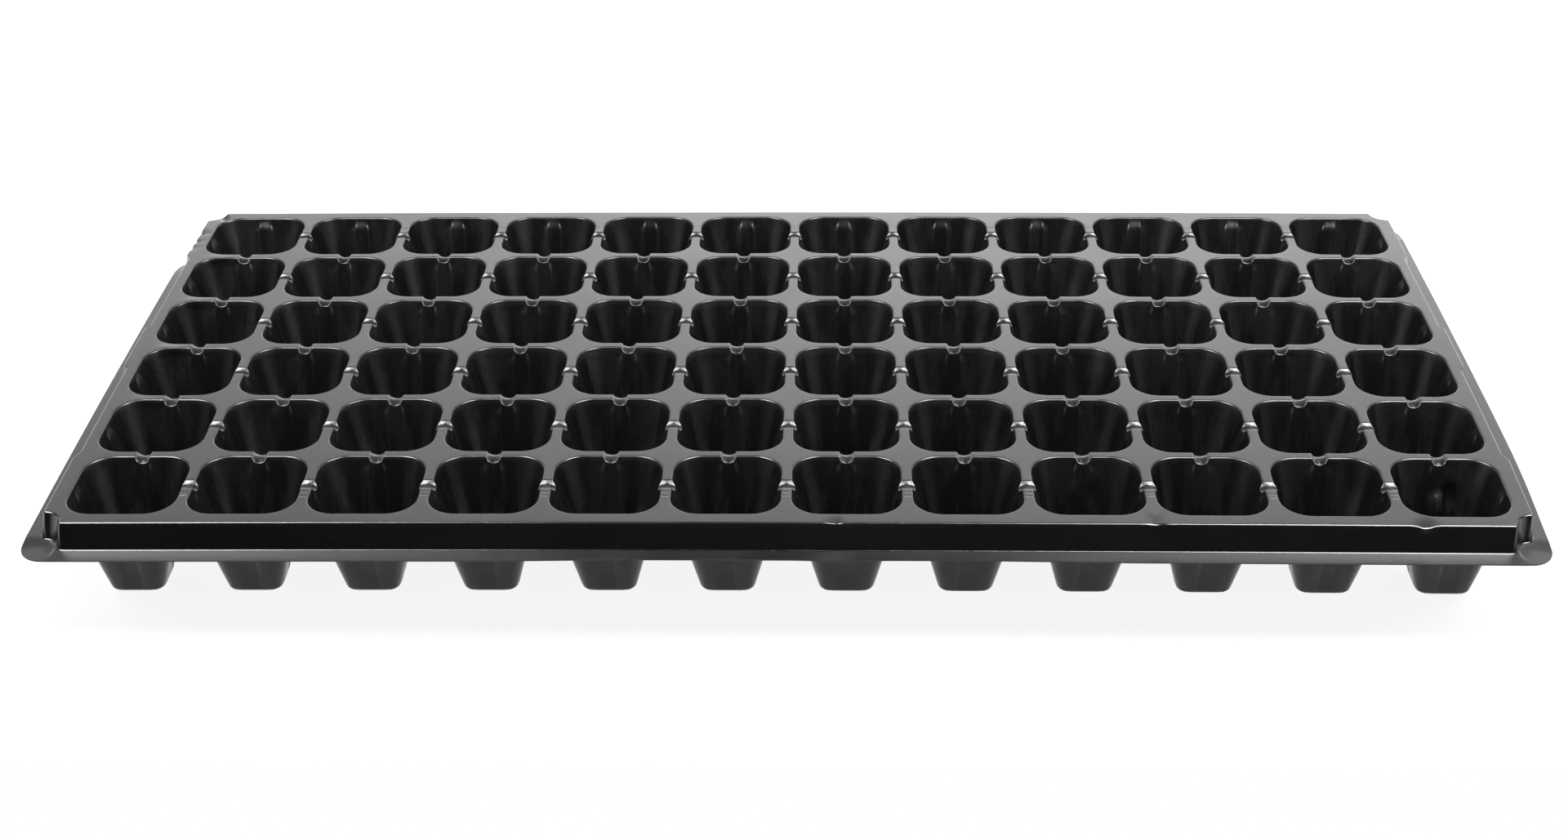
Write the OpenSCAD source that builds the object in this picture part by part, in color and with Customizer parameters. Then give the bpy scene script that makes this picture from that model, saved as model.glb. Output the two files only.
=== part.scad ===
// Seed tray: a sheet of black plastic formed into a grid of tapered cells, with a skirted rim.
// The origin is under the middle of the tray, on the plane of the cell floors.

/* [Cell grid] */
// Number of cells along the tray
columns = 12; // [4:1:14]
// Number of cells across the tray
rows = 6; // [3:1:8]
// Width of a cell's mouth at the deck
mouth_w = 40.4; // [36:0.2:46]
// Width of the web of deck between two mouths
web_w = 2.6; // [2:0.2:10]

/* [Cell] */
// Height of the tray, from under the cell floors to the top of the deck
tray_h = 40.5; // [36:0.5:60]
// Width of the flat part of a cell's floor
floor_w = 15.4; // [13:0.2:18]
// Radius of the rounding between a cell's floor and its wall
floor_edge_r = 1.8; // [1:0.1:2.4]
// Radius of the rolled lip round a cell's mouth
lip_r = 0.7; // [0.5:0.1:2]
// Thickness of a cell's drawn wall and floor
cell_t = 0.6; // [0.4:0.1:0.8]
// Diameter of the drain hole in a cell's floor
drain_d = 8; // [5:0.5:10]

/* [Ribs] */
// Width of the upright rib in the middle of each wall
rib_w = 6.4; // [4:0.2:8]
// How far a rib stands into the cell
rib_d = 0.7; // [0.4:0.1:1.2]
// Depth of the groove behind a rib
groove_d = 0.4; // [0.2:0.1:0.5]
// Distance from the deck down to the top of a rib
rib_drop = 7; // [5:0.5:12]
// Length of the slope at the top of a rib
rib_lead = 3; // [1:0.5:5]

/* [Channels] */
// Radius of the half-round channel across the middle of each web
channel_r = 3; // [2:0.2:3.6]

/* [Rim] */
// Thickness of the deck, the skirt and the flange
deck_t = 1; // [0.6:0.1:1.2]
// Width of the deck border outside the outer mouths
border_w = 5.4; // [3:0.2:10]
// Height of the deck's top above the flange's top
skirt_h = 10; // [6:0.2:14]
// How far the skirt leans out on its way down
skirt_run = 2.2; // [1.6:0.1:3.2]
// Width of the flange outside the skirt
flange_w = 5.4; // [4:0.2:10]

/* [Corners] */
// Radius of the scoop in each corner of the deck
scoop_r = 7.3; // [6.6:0.1:9]
// Radius of the flange's outer corners
flange_corner_r = 7; // [4:0.5:8]
// Deck left between a scoop and the corner of the grid of mouths
scoop_gap = 0.35; // [0.05:0.05:2]
// Height of a corner pad above the flange
pad_step = 0.2; // [0.1:0.1:0.8]

/* [Hidden] */
$fn = 64;

// Length by which a cutting shape passes the faces it cuts
past = 1;
// Number of flats in a small rounding of a cell's section
arc_steps = 3;

// Colours of the sheet, by how far it was drawn
deck_black = [0.20, 0.20, 0.21];
cell_black = [0.10, 0.10, 0.11];
skirt_black = [0.13, 0.13, 0.14];
flange_black = [0.25, 0.25, 0.26];

// Deck: distance from cell to cell, size of the grid of mouths, and half the deck's length and width
cell_pitch = mouth_w + web_w;
grid_l = columns * cell_pitch - web_w;
grid_w = rows * cell_pitch - web_w;
deck_x = grid_l / 2 + border_w;
deck_y = grid_w / 2 + border_w;
deck_low = tray_h - deck_t;

// Rim levels, and its reach outside the edge of the deck
flange_top = tray_h - skirt_h;
flange_low = flange_top - deck_t;
rim_out = skirt_run + flange_w;

// Corner: how far the scoop's axis lies outside the corner of the deck, both ways, the scoop's radius
// at the flange, and how far a pad reaches in from the corner of the deck
scoop_out = (scoop_r + scoop_gap) / sqrt(2) - border_w;
scoop_base_r = scoop_r - skirt_run;
pad_in = sqrt(pow(scoop_base_r, 2) - pow(skirt_run - scoop_out, 2)) - scoop_out;

// A cell's section is swept round a square core, as wide as the flat floor.
// The wall is the line that touches both the lip's circle and the floor edge's circle.
core = floor_w / 2;
mouth_corner_r = mouth_w / 2 - core;
lip_c = [mouth_corner_r, tray_h - lip_r];
floor_c = [0, cell_t + floor_edge_r];
spread = lip_c - floor_c;
lean = atan2(spread.x, spread.y) - asin((lip_r + floor_edge_r) / norm(spread));
outward = [cos(lean), -sin(lean)];
upward = [sin(lean), cos(lean)];
lip_end = lip_c - lip_r * outward;
rib_top = tray_h - rib_drop;

// Point of the wall's inner face at height z, moved out by the distance d
function wall_at(z, d = 0) = lip_end + upward * (z - lip_end.y) / cos(lean) + outward * d;

function column_x(column) = (column - (columns + 1) / 2) * cell_pitch;
function row_y(row) = (row - (rows + 1) / 2) * cell_pitch;

// Angles of the walls of a cell that face another cell
function open_sides(column, row) = [
    if (column < columns) 0,
    if (row < rows) 90,
    if (column > 1) 180,
    if (row > 1) 270
];

function two_digits(n) = n < 10 ? str("0", n) : str(n);
function cell_column_name(column) = str("cell_column_", two_digits(column));
function column_web_name(web) = str("column_web_", two_digits(web));

// Names of the four sides and four corners, with their direction from the middle
sides = [["front", [0, -1]], ["back", [0, 1]], ["left", [-1, 0]], ["right", [1, 0]]];
corners = [
    ["front_left", [-1, -1]],
    ["front_right", [1, -1]],
    ["back_left", [-1, 1]],
    ["back_right", [1, 1]]
];

// Section shapes of a cell: x runs out from the core, y is the height

// Points of an arc round the point c, from one angle to another
function arc(c, r, from, to) = [
    for (i = [0:arc_steps])
        let (angle = from + (to - from) * i / arc_steps)
            c + r * [cos(angle), sin(angle)]
];

// Space inside the cell, open at the top past the rolled lip
module cavity_section() {
    polygon(concat(
        arc(floor_c, floor_edge_r, -90, -lean),
        arc(lip_c, lip_r, 180 - lean, 90),
        [[mouth_corner_r, tray_h + past], [0, tray_h + past]]
    ));
}

// Outside of the cell, filled in to the core
module body_section() {
    wall_top = tray_h - deck_t / 2;
    polygon(concat(
        arc(floor_c, floor_edge_r + cell_t, -90, -lean),
        [wall_at(wall_top, cell_t), [0, wall_top]]
    ));
}

// Strip along a wall face that lies d outside the inner face, sunk by depth and sloped at the top
module rib_strip(d, depth) {
    polygon([
        wall_at(-past, d + past),
        wall_at(rib_top, d + past),
        wall_at(rib_top, d),
        wall_at(rib_top - rib_lead, d - depth),
        wall_at(-past, d - depth)
    ]);
}

module ribbed_cavity_section() {
    difference() {
        cavity_section();
        rib_strip(0, rib_d);
    }
}

module grooved_body_section() {
    difference() {
        body_section();
        rib_strip(cell_t, groove_d);
    }
}

// Sweep a section round the core: child 0 at the corners and flanks, child 1 along the ribs
module sweep_round_core(low, high) {
    flank = core - rib_w / 2;
    for (turn = [0:90:270])
        rotate(turn) {
            translate([core, core, 0])
                rotate_extrude(angle = 90)
                    children(0);
            for (start = [core, -rib_w / 2])
                translate([core, start, 0])
                    rotate([90, 0, 0])
                        linear_extrude(flank)
                            children(0);
            translate([core, rib_w / 2, 0])
                rotate([90, 0, 0])
                    linear_extrude(rib_w)
                        children(1);
        }
    translate([-core, -core, low])
        cube([floor_w, floor_w, high - low]);
}

// Lower half of a channel's outside, as a section across the channel
module channel_shell_section() {
    intersection() {
        translate([0, tray_h])
            circle(channel_r + deck_t);
        translate([-2 * channel_r, 0])
            square([4 * channel_r, tray_h]);
    }
}

module channel_section() {
    translate([0, tray_h])
        circle(channel_r);
}

// Stand a section across a channel up and run it out from the core to the edge of the collar
module run_to_collar_edge(extra) {
    translate([core, 0, 0])
        rotate([90, 0, 90])
            linear_extrude(mouth_corner_r + extra)
                children();
}

module cell(open_angles) {
    difference() {
        union() {
            translate([-mouth_w / 2, -mouth_w / 2, deck_low])
                cube([mouth_w, mouth_w, deck_t]);
            sweep_round_core(0, tray_h - deck_t / 2) {
                body_section();
                grooved_body_section();
            }
            for (angle = open_angles)
                rotate(angle)
                    run_to_collar_edge(0)
                        channel_shell_section();
        }
        sweep_round_core(cell_t, tray_h + past) {
            cavity_section();
            ribbed_cavity_section();
        }
        for (angle = open_angles)
            rotate(angle)
                run_to_collar_edge(past)
                    channel_section();
        translate([0, 0, -past])
            cylinder(d = drain_d, h = cell_t + 2 * past);
    }
}

// Column of cells, joined by the short webs between its rows
module cell_column(column) {
    color(cell_black)
        translate([column_x(column), 0, 0]) {
            for (row = [1:rows])
                translate([0, row_y(row), 0])
                    cell(open_sides(column, row));
            for (web = [1:rows - 1])
                translate([0, row_y(web + 0.5), 0])
                    stand_web()
                        web_section(mouth_w, [0]);
        }
}

// Section along a web: a strip of deck that dips into a channel at each of the given places
module web_section(length, places) {
    difference() {
        union() {
            translate([-length / 2, deck_low])
                square([length, deck_t]);
            for (place = places)
                translate([place, 0])
                    channel_shell_section();
        }
        for (place = places)
            translate([place, 0])
                channel_section();
    }
}

// Stand a web's section up along x, with its width centred on y
module stand_web() {
    translate([0, web_w / 2, 0])
        rotate([90, 0, 0])
            linear_extrude(web_w)
                children();
}

// Web between two columns, as long as the grid of cells
module column_web(web) {
    color(deck_black)
        translate([column_x(web + 0.5), 0, 0])
            rotate(90)
                stand_web()
                    web_section(grid_w, [for (row = [1:rows]) row_y(row)]);
}

// Half the length of a side's edge, and the distance of that edge from the middle
function edge_half(side) = side[1].x == 0 ? deck_x : deck_y;
function edge_distance(side) = side[1].x == 0 ? deck_y : deck_x;

// Turn a piece made for the front, with its edge along y = 0 and outward towards -y, to its side
module place_on_side(side) {
    rotate(atan2(side[1].y, side[1].x) + 90)
        translate([0, -edge_distance(side), 0])
            children();
}

module place_on_corner(corner) {
    translate([corner[1].x * deck_x, corner[1].y * deck_y, 0])
        mirror([corner[1].x < 0 ? 1 : 0, 0, 0])
            mirror([0, corner[1].y < 0 ? 1 : 0, 0])
                children();
}

// Put a shape made round a scoop's axis at its corner
module place_scoop(corner) {
    place_on_corner(corner)
        translate([scoop_out, scoop_out, 0])
            children();
}

// The front and back borders run the whole length of the deck, the others fit between them
module border(side) {
    half = side[1].x == 0 ? deck_x : grid_w / 2;
    color(deck_black)
        difference() {
            place_on_side(side)
                translate([-half, 0, deck_low])
                    cube([2 * half, border_w, deck_t]);
            for (corner = corners)
                place_scoop(corner)
                    translate([0, 0, deck_low - past])
                        cylinder(r = scoop_r, h = deck_t + 2 * past);
        }
}

// Section of the leaning rim wall: x runs out from the edge of the deck
function rim_wall_points() = [
    [0, deck_low],
    [skirt_run, flange_top],
    [skirt_run, flange_low],
    [skirt_run - deck_t, flange_low],
    [-deck_t, deck_low]
];

// Solid that fills the scoop in front of its wall
module scoop_space() {
    rotate_extrude()
        polygon([
            [0, deck_low + past],
            [scoop_r, deck_low + past],
            [scoop_r, deck_low],
            [scoop_base_r, flange_top],
            [scoop_base_r, flange_low - past],
            [0, flange_low - past]
        ]);
}

module skirt(side) {
    half = edge_half(side);
    color(skirt_black)
        difference() {
            place_on_side(side)
                translate([half, 0, 0])
                    rotate([90, 0, -90])
                        linear_extrude(2 * half)
                            polygon(rim_wall_points());
            for (corner = corners)
                place_scoop(corner)
                    scoop_space();
        }
}

// Space inside the skirts, in the section across one pair of them
module inside_section(half) {
    polygon([
        [-half + deck_t, deck_low],
        [half - deck_t, deck_low],
        [half - deck_t + skirt_run, flange_low],
        [-half + deck_t - skirt_run, flange_low]
    ]);
}

module scoop(corner) {
    color(skirt_black)
        intersection() {
            place_scoop(corner)
                rotate_extrude()
                    polygon([for (p = rim_wall_points()) [scoop_r - p.x, p.y]]);
            translate([0, deck_y + rim_out, 0])
                rotate([90, 0, 0])
                    linear_extrude(2 * (deck_y + rim_out))
                        inside_section(deck_x);
            translate([-deck_x - rim_out, 0, 0])
                rotate([90, 0, 90])
                    linear_extrude(2 * (deck_x + rim_out))
                        inside_section(deck_y);
        }
}

module flange(side) {
    half = edge_half(side) - pad_in;
    color(flange_black)
        place_on_side(side)
            translate([-half, -rim_out, flange_low])
                cube([2 * half, flange_w, deck_t]);
}

// Outline of a pad, with the corner of the deck at the origin
module pad_outline() {
    translate([scoop_out, scoop_out])
        circle(scoop_base_r);
    difference() {
        translate([-pad_in, -pad_in])
            square(rim_out + pad_in);
        translate([-pad_in - past, -pad_in - past])
            square(skirt_run + pad_in + past);
        translate([rim_out - flange_corner_r, rim_out - flange_corner_r])
            difference() {
                square(flange_corner_r + past);
                circle(flange_corner_r);
            }
    }
}

module pad(corner) {
    color(flange_black)
        place_on_corner(corner)
            translate([0, 0, flange_low])
                linear_extrude(deck_t + pad_step)
                    pad_outline();
}

for (column = [1:columns])
    cell_column(column);
for (web = [1:columns - 1])
    column_web(web);
for (side = sides) {
    border(side);
    skirt(side);
    flange(side);
}
for (corner = corners) {
    scoop(corner);
    pad(corner);
}
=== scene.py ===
import math
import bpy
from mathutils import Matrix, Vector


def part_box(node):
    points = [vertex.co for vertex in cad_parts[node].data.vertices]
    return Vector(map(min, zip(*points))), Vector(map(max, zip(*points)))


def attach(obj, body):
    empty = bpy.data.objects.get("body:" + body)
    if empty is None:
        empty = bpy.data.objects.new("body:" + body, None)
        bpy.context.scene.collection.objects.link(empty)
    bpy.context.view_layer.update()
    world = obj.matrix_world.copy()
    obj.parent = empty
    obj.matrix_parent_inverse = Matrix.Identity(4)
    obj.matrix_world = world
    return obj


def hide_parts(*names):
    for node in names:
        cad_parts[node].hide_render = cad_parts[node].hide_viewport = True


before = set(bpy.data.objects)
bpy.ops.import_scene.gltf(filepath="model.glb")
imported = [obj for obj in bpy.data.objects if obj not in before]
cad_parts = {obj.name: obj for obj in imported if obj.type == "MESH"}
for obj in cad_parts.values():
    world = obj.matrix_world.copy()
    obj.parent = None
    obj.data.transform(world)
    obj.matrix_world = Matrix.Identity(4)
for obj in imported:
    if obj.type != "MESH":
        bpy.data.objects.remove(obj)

from types import SimpleNamespace

import bpy
import numpy as np
from mathutils import Matrix, Vector

bl_info = {
    "name": "Seed tray",
    "version": (1, 0, 0),
    "blender": (4, 5, 0),
    "location": "3D View > Sidebar > Seed tray",
    "description": "Builds a plug-cell seed tray formed from one thin black sheet, and its studio",
    "category": "Object",
}

# The sheet is worked out in millimetres, and its meshes are in metres
MM = 0.001


def nodes_of(*starts):
    """The CAD nodes whose names start so, in order"""
    return sorted(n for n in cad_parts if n.startswith(starts))


# The CAD nodes that each group of pieces stands for
CELL_COLUMNS = nodes_of("cell_column_")
COLUMN_WEBS = nodes_of("column_web_")
BORDERS = nodes_of("border_")
SKIRTS = nodes_of("skirt_", "scoop_")
FLANGES = nodes_of("flange_", "pad_")

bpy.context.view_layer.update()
FIRST_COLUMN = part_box(CELL_COLUMNS[0])
LAST_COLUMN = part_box(CELL_COLUMNS[-1])
RIGHT_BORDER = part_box("border_right")
BACK_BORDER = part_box("border_back")
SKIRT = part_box("skirt_back")
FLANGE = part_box("flange_back")

COLUMNS = len(CELL_COLUMNS)
PITCH = (LAST_COLUMN[0].x - FIRST_COLUMN[0].x) / (COLUMNS - 1)
ROWS = round((FIRST_COLUMN[1].y - FIRST_COLUMN[0].y) / PITCH)
DECK_TOP = RIGHT_BORDER[1].z
DECK_HALF_X = RIGHT_BORDER[1].x
DECK_HALF_Y = BACK_BORDER[1].y
FLANGE_TOP = FLANGE[1].z

# Regions of the sheet
ON_DECK, IN_CELL, ON_SKIRT, ON_FLANGE = range(4)


def length(name, description, millimetres):
    """A size that the sidebar shows as a length"""
    return bpy.props.FloatProperty(
        name=name, description=description, default=millimetres * MM,
        unit="LENGTH", subtype="DISTANCE", precision=5)


def angle(name, description, degrees):
    """A turn that the sidebar shows as an angle"""
    return bpy.props.FloatProperty(
        name=name, description=description, default=math.radians(degrees),
        unit="ROTATION", subtype="ANGLE")


def tint(name, description, default):
    """A colour that the sidebar shows as a swatch"""
    return bpy.props.FloatVectorProperty(
        name=name, description=description, default=default,
        subtype="COLOR", size=3, min=0.0, max=1.0)


class TRAY_PG_sizes(bpy.types.PropertyGroup):
    """Sizes of the formed sheet"""
    pitch: length("Cell pitch", "Distance from cell to cell, both ways", PITCH / MM)
    mouth_width: length("Mouth width", "Width of a cell's mouth where its lip starts to roll",
                        (FIRST_COLUMN[1].x - FIRST_COLUMN[0].x) / MM)
    mouth_corner: length("Mouth corner", "Corner radius of the mouth", 11.2)
    lip_radius: length("Lip radius", "Radius of the rolled lip", 0.7)
    cell_depth: length("Cell depth", "From the deck to the underside of a cell's floor", 39.35)
    floor_width: length("Floor width", "Flat width of a cell's floor", 16.4)
    floor_corner: length("Floor corner", "Corner radius of the flat floor", 2.8)
    floor_edge: length("Floor edge", "Radius between floor and wall", 1.6)
    drain_hole: length("Drain hole", "Diameter of the hole in the floor", 8.0)
    rib_width: length("Rib width", "Width of the rib down each wall, with its flanks", 8.4)
    rib_depth: length("Rib depth", "How far a rib stands into the cell", 0.7)
    rib_top: length("Rib top", "How far below the deck a rib starts to widen", 2.0)
    rib_lead: length("Rib lead", "Height over which a rib widens from its channel", 4.0)
    channel_width: length("Channel width", "Width of a channel across a web", 5.6)
    channel_depth: length("Channel depth", "Depth of a channel in the middle of its web", 1.25)
    channel_ridge: length("Channel ridge", "How softly a channel bends over its web's middle", 1.6)
    spout_drop: length("Spout drop", "How far a channel falls from its middle to its spouts", 1.5)
    edge_radius: length("Edge radius", "Radius of the deck's outer edge", 0.7)
    crease_radius: length("Crease radius", "Radius where the skirt meets the flange", 0.6)
    scoop_radius: length("Scoop radius", "Radius of the scoop at a deck corner", 7.3)
    scoop_edge: length("Scoop edge", "Radius of the edge between scoop and skirt", 0.8)
    flange_corner: length("Flange corner", "Corner radius of the flange", 9.0)
    flange_fall: length("Flange fall", "How far the flange hangs from crease to edge", 0.8)
    pad_reach: length("Pad reach", "How far a corner pad runs in along the flange", 4.4)
    pad_drop: length("Pad drop", "How far a corner pad lies below the crease", 0.7)
    deck_gauge: length("Deck gauge", "Thickness of the deck, skirt and flange", 0.55)
    cell_gauge: length("Cell gauge", "Thickness of the drawn cell walls", 0.45)
    end_step: length("End step", "How far the short ends step in beside their middles", 1.75)
    end_middle: length("End middle", "Half length of a short end's middle, up to its step", 17.5)
    crown: length("Crown", "How far the long edges hang below the middle of the deck", 1.45)
    bow: length("Bow", "How far the middle of the deck stands above its short ends", 0.75)


class TRAY_PG_colours(bpy.types.PropertyGroup):
    """Colours of the sheet and the studio"""
    deck_colour: tint("Deck", "Satin deck of the sheet", (0.026, 0.025, 0.025))
    # A darker copy of the sheet's colour for the cells: painted shade in their hollows
    cell_colour: tint("Cells", "Glossier drawn cells", (0.008, 0.0075, 0.0078))
    # A darker copy of the sheet's colour for the skirt and scoops: painted shade on their faces
    skirt_colour: tint("Skirt", "Skirt and scoops", (0.007, 0.0065, 0.0068))
    flange_colour: tint("Flange", "Flange and corner pads", (0.025, 0.024, 0.024))
    scuff_colour: tint("Scuffs", "Pale rubs and specks", (0.10, 0.098, 0.098))
    studio_colour: tint("Studio", "Pale floor of the studio", (0.80, 0.80, 0.80))


class TRAY_PG_stage(bpy.types.PropertyGroup):
    """Place and lens of the camera"""
    camera_place: bpy.props.FloatVectorProperty(
        name="Camera place", description="Where the camera stands",
        default=(0.01496, -0.8383, 0.4700), unit="LENGTH", subtype="TRANSLATION", size=3)
    camera_pitch: angle("Camera pitch", "How far the camera looks down", 28.85)
    camera_yaw: angle("Camera yaw", "How far the camera turns to the right", -1.23)
    camera_roll: angle("Camera roll", "How far the camera leans", -0.51)
    camera_lens: bpy.props.FloatProperty(
        name="Camera lens", description="Focal length in millimetres on a 36 mm sensor",
        default=54.45, min=10.0, max=300.0)


def smooth_step(low, high, x):
    """A smooth rise from 0 at low to 1 at high"""
    t = np.clip((x - low) / (high - low), 0.0, 1.0)
    return t * t * (3.0 - 2.0 * t)


def in_mm(sizes):
    """The sizes as plain millimetres, by name"""
    return SimpleNamespace(**{name: getattr(sizes, name) / MM for name in TRAY_PG_sizes.__annotations__})


# Values of the sheet, with lengths in millimetres

# Stations across the middle of a side, where the channel and the rib are
MIDDLE_STATIONS = np.array([0.7, 1.4, 1.9, 2.3, 2.6, 2.9, 3.4, 5.0, 7.4])
# Where a side ends when its straight run is shorter, and how far it may turn into the corner, in radians
LAST_STATION, LAST_TURN = 8.4, 0.6
# The station of points in a corner, far from any channel or rib
NO_STATION = 99.0
# Depths of the rings down a wall below the lip
WALL_DEPTHS = np.array([0.9, 1.3, 1.7, 2.1, 2.5, 2.9, 3.4, 4.0, 4.7, 5.5, 6.5, 8.0, 10.0, 13.0, 17.0,
                        22.0, 26.0, 29.0, 32.0])
# Where rings lie on the skirt and the flange, as shares of the way down and out
SKIRT_SHARES = (0.25, 0.5, 0.75)
FLANGE_SHARES = (0.12, 0.24, 0.36, 0.48, 0.6, 0.72, 0.84, 0.93, 1.0)
# Steps round the lip, the floor's edge, a cell's corner, the deck's edge, a scoop and the crease
LIP_STEPS, FLOOR_STEPS, CORNER_STEPS = 5, 4, 12
EDGE_STEPS, SCOOP_STEPS, CREASE_STEPS = 5, 14, 4
# Shares of the way from the end of a side's straight run to the corner of its tile
CORNER_SHARES = np.arange(1, CORNER_STEPS // 2 + 1) / (CORNER_STEPS // 2)
# Rounds in which the lean of a cell's wall settles
LEAN_ROUNDS = 8
# Flat share of a rib's width, in its channel and below it
FACE_IN_CHANNEL, FACE_BELOW = 0.74, 0.60
# Share of a rib's depth at the lip's foot, and share of the wall down to which it is full
RIB_AT_LIP, RIB_FULL = 0.9, 0.8
# Beside the border a rib fades in between these shares of its top and its lead
FADE_FROM, FADE_TO = 0.4, 0.75
# How softly a channel meets the deck and rolls over the lip
CHANNEL_SOFT, SPOUT_SOFT = 0.16, 0.45
# Share of a channel's depth from which it falls fully to its spout, and the height that it stays above
SPOUT_SHARE, CHANNEL_LIMIT = 0.55, -6.0
# The front flange hangs less round its middle: place, half length, where the hang is full, missing share
LEVEL_MIDDLE, LEVEL_HALF, HANG_FULL, LEVEL_SHARE = 6.0, 55.0, 125.0, 0.85
# How far beyond the deck the long flanges hang fully
HANG_RUN = 3.0
# Half width of a pad's edge on the long and the short flanges, its lean, and where it is fully down
PAD_STEP, PAD_RUN, PAD_LEAN, PAD_FULL = 0.3, 4.0, 0.25, 0.3
# Half widths of the steps in a short end, and how far in from it they start and are full
MIDDLE_STEP, LAST_STEP, STEP_FROM, STEP_FULL = 1.3, 1.5, 4.6, 1.0
# Depths between which the drawn sheet thins
THIN_FROM, THIN_TO = 1.0, 12.0

# Dents from handling: middle, from the middle of the deck's top, push and reach
DENTS = (
    # Far wall of the right cell in the front row: a bulge and a hollow beside it
    ((236.3, -93.0, -18.0), (0.0, -3.0, 0.0), (3.0, 8.0, 2.4)),
    ((240.6, -92.3, -14.5), (0.0, 1.6, 0.0), (2.6, 8.0, 3.0)),
    # Far wall of the ninth cell in the front row
    ((104.6, -91.5, -11.5), (0.0, -0.6, 0.0), (1.6, 6.0, 2.0)),
    ((111.0, -92.0, -14.0), (0.0, 0.8, 0.0), (2.0, 6.0, 3.0)),
    ((106.0, -92.5, -17.0), (0.0, -0.5, 0.0), (1.8, 6.0, 1.8)),
    # Front edge of the deck
    ((222.0, -133.1, 0.0), (0.0, -0.7, -0.9), (2.6, 2.0, 2.0)),
    ((129.0, -133.1, 0.0), (0.0, 0.4, -0.6), (1.6, 1.6, 1.6)),
    ((17.5, -133.1, 0.0), (0.0, 0.2, -0.5), (1.8, 1.8, 1.6)),
    # Front edge of the flange
    ((20.0, -140.7, -10.0), (0.0, 0.0, -0.7), (9.0, 4.0, 4.0)),
    # Front right corner, pushed in
    ((269.7, -140.7, -10.0), (-2.6, 0.0, 0.0), (26.0, 45.0, 14.0)),
    # Crumpled back left corner
    ((-268.0, 108.0, -10.0), (3.0, 0.0, -2.0), (7.0, 9.0, 8.0)),
    ((-266.0, 126.0, -10.0), (2.5, -1.5, -1.6), (7.0, 8.0, 8.0)),
    ((-262.1, 95.0, 0.0), (0.6, 0.0, -0.8), (1.8, 1.6, 2.0)),
    ((-262.1, 102.0, 0.0), (0.9, 0.0, -0.9), (1.8, 1.5, 2.0)),
    ((-261.5, 111.0, 0.0), (0.7, 0.0, -0.9), (1.8, 1.6, 2.0)),
    ((-254.0, 127.0, 0.0), (0.4, -0.6, -0.9), (2.2, 2.2, 2.0)),
)
# Crinkles in the far lips of the left column: rows from the front, and how strong
CRINKLED_ROWS = ((1, 0.5), (2, 1.0), (3, 1.0), (4, 1.0))
# Places of the crinkles from the middle of the cell, push and reach
CRINKLES = (-13.6, -10.9, -8.2)
CRINKLE_PUSH = (0.0, -0.70, 0.45)
CRINKLE_REACH = (1.2, 2.6, 2.0)

# Outward directions of the sides: right, back, left and front; each points along the side before it
OUTWARD = np.array([(1.0, 0.0), (0.0, 1.0), (-1.0, 0.0), (0.0, -1.0)])


def on_side(side, out, along):
    """Points that lie so far out and so far along, seen from a side"""
    return np.outer(out, OUTWARD[side]) + np.outer(along, OUTWARD[side - 3])


def stations(straight):
    """Places along one side of a cell, from the middle of that side"""
    return np.concatenate([[-straight], -MIDDLE_STATIONS[::-1], [0.0], MIDDLE_STATIONS, [straight]])


def rounded_square(half, radius, turns):
    """One ring of points round a cell: stations along each side, then the turns of each corner"""
    straight = half - radius
    row = stations(max(straight, LAST_STATION))
    row *= min(1.0, (straight + LAST_TURN * radius) / LAST_STATION)
    # Past the straight run, a station lies on the arc of the corner
    past = np.clip(np.abs(row) - straight, 0.0, None) / radius
    across = np.sign(row) * (np.minimum(np.abs(row), straight) + radius * np.sin(past))
    reach = straight + radius * np.cos(past)
    points = []
    for side in range(4):
        points.append(on_side(side, reach, across))
        a = past[-1] + turns[side] * (1.0 - 4.0 * past[-1] / math.pi)
        points.append(on_side(side, straight + radius * np.cos(a), straight + radius * np.sin(a)))
    return np.concatenate(points)


def station_of_ring(turns):
    """Station of every point of a ring, and the side that it lies on"""
    where, side_index = [], []
    for side in range(4):
        row = stations(LAST_STATION)
        where += list(row) + [NO_STATION] * len(turns[side])
        side_index += [side] * (len(row) + len(turns[side]))
    return np.array(where), np.array(side_index)


def cell_profile(s):
    """Rings of a cell from its lip to its floor: half width, corner radius, height, share of the rib"""
    half_mouth, half_floor = s.mouth_width / 2, s.floor_width / 2
    floor_height = s.cell_gauge - s.cell_depth
    lean = 0.0
    for _ in range(LEAN_ROUNDS):
        top = half_mouth - s.lip_radius * math.cos(lean), -s.lip_radius * (1 - math.sin(lean))
        low = (half_floor + s.floor_edge * math.cos(lean),
               floor_height + s.floor_edge * (1 - math.sin(lean)))
        lean = math.atan((top[0] - low[0]) / (top[1] - low[1]))
    upright = math.pi / 2 - lean
    rings = []
    for a in np.linspace(0.0, upright, LIP_STEPS + 1):
        shrink = s.lip_radius * math.sin(a)
        rings.append((half_mouth - shrink, s.mouth_corner - shrink,
                      -s.lip_radius * (1 - math.cos(a)), RIB_AT_LIP * a / upright))
    top_corner = rings[-1][1]
    low_corner = s.floor_corner + s.floor_edge * math.cos(lean)
    for depth in WALL_DEPTHS:
        t = (top[1] + depth) / (top[1] - low[1])
        rings.append((top[0] + t * (low[0] - top[0]), top_corner + t * (low_corner - top_corner),
                      -depth, 1.0 - smooth_step(RIB_FULL, 1.0, t)))
    for a in np.linspace(upright, 0.0, FLOOR_STEPS + 1):
        grow = s.floor_edge * math.sin(a)
        rings.append((half_floor + grow, s.floor_corner + grow,
                      floor_height + s.floor_edge * (1 - math.cos(a)), 0.0))
    return rings


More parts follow.
